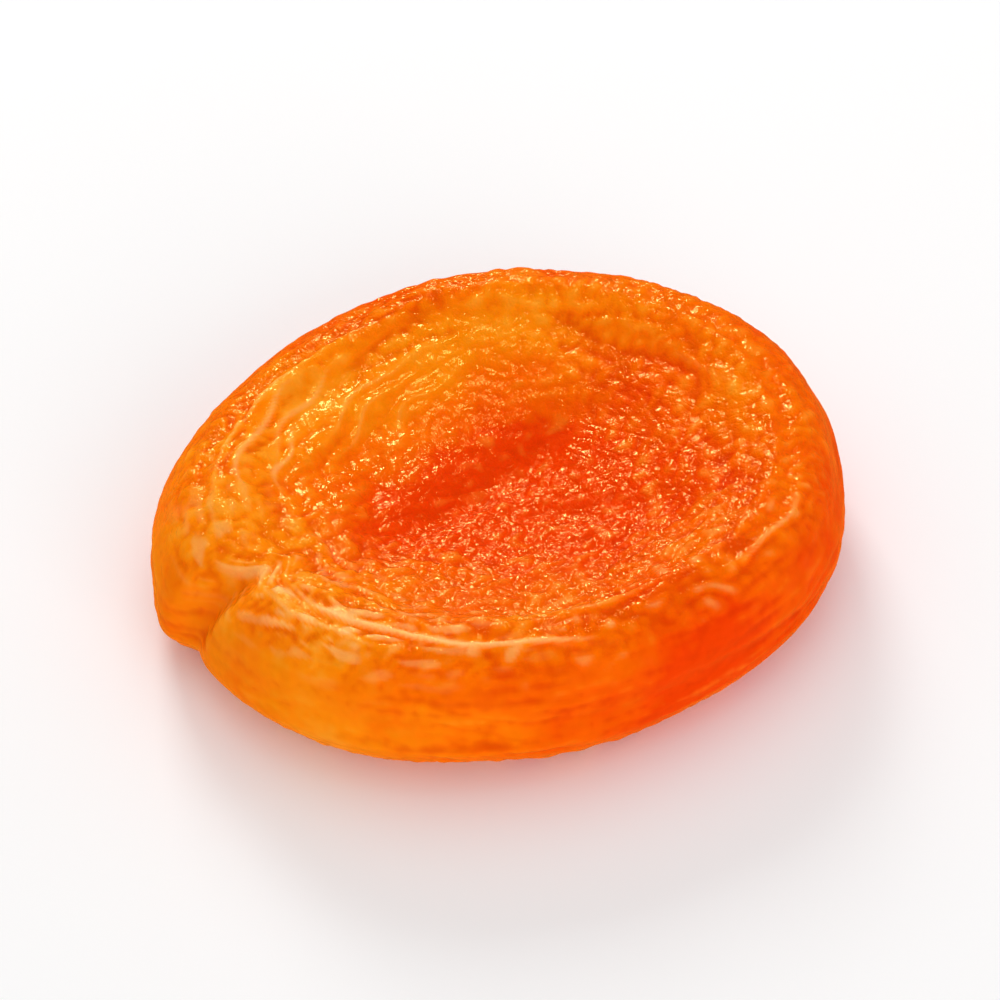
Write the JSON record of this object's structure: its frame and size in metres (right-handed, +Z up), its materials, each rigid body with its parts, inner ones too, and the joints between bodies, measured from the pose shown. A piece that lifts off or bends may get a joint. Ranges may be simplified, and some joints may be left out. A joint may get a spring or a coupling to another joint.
{
  "type": "dried apricot",
  "caption": "Whole pitted apricot, dried flat: an oval disc with a plump rolled rim, a dish on each side and a cleft at the stem end.",
  "frame": {"origin": "on the surface that the fruit lies on, under the middle of its box", "axes": "+X from the stem end's cleft to the tip, +Z up out of the deeper dish"},
  "size_m": [0.0424, 0.0362, 0.0094],
  "materials": {
    "skin": "satin"
  },
  "bodies": {
    "root": {"apricot": "skin"}
  },
  "joints": []
}
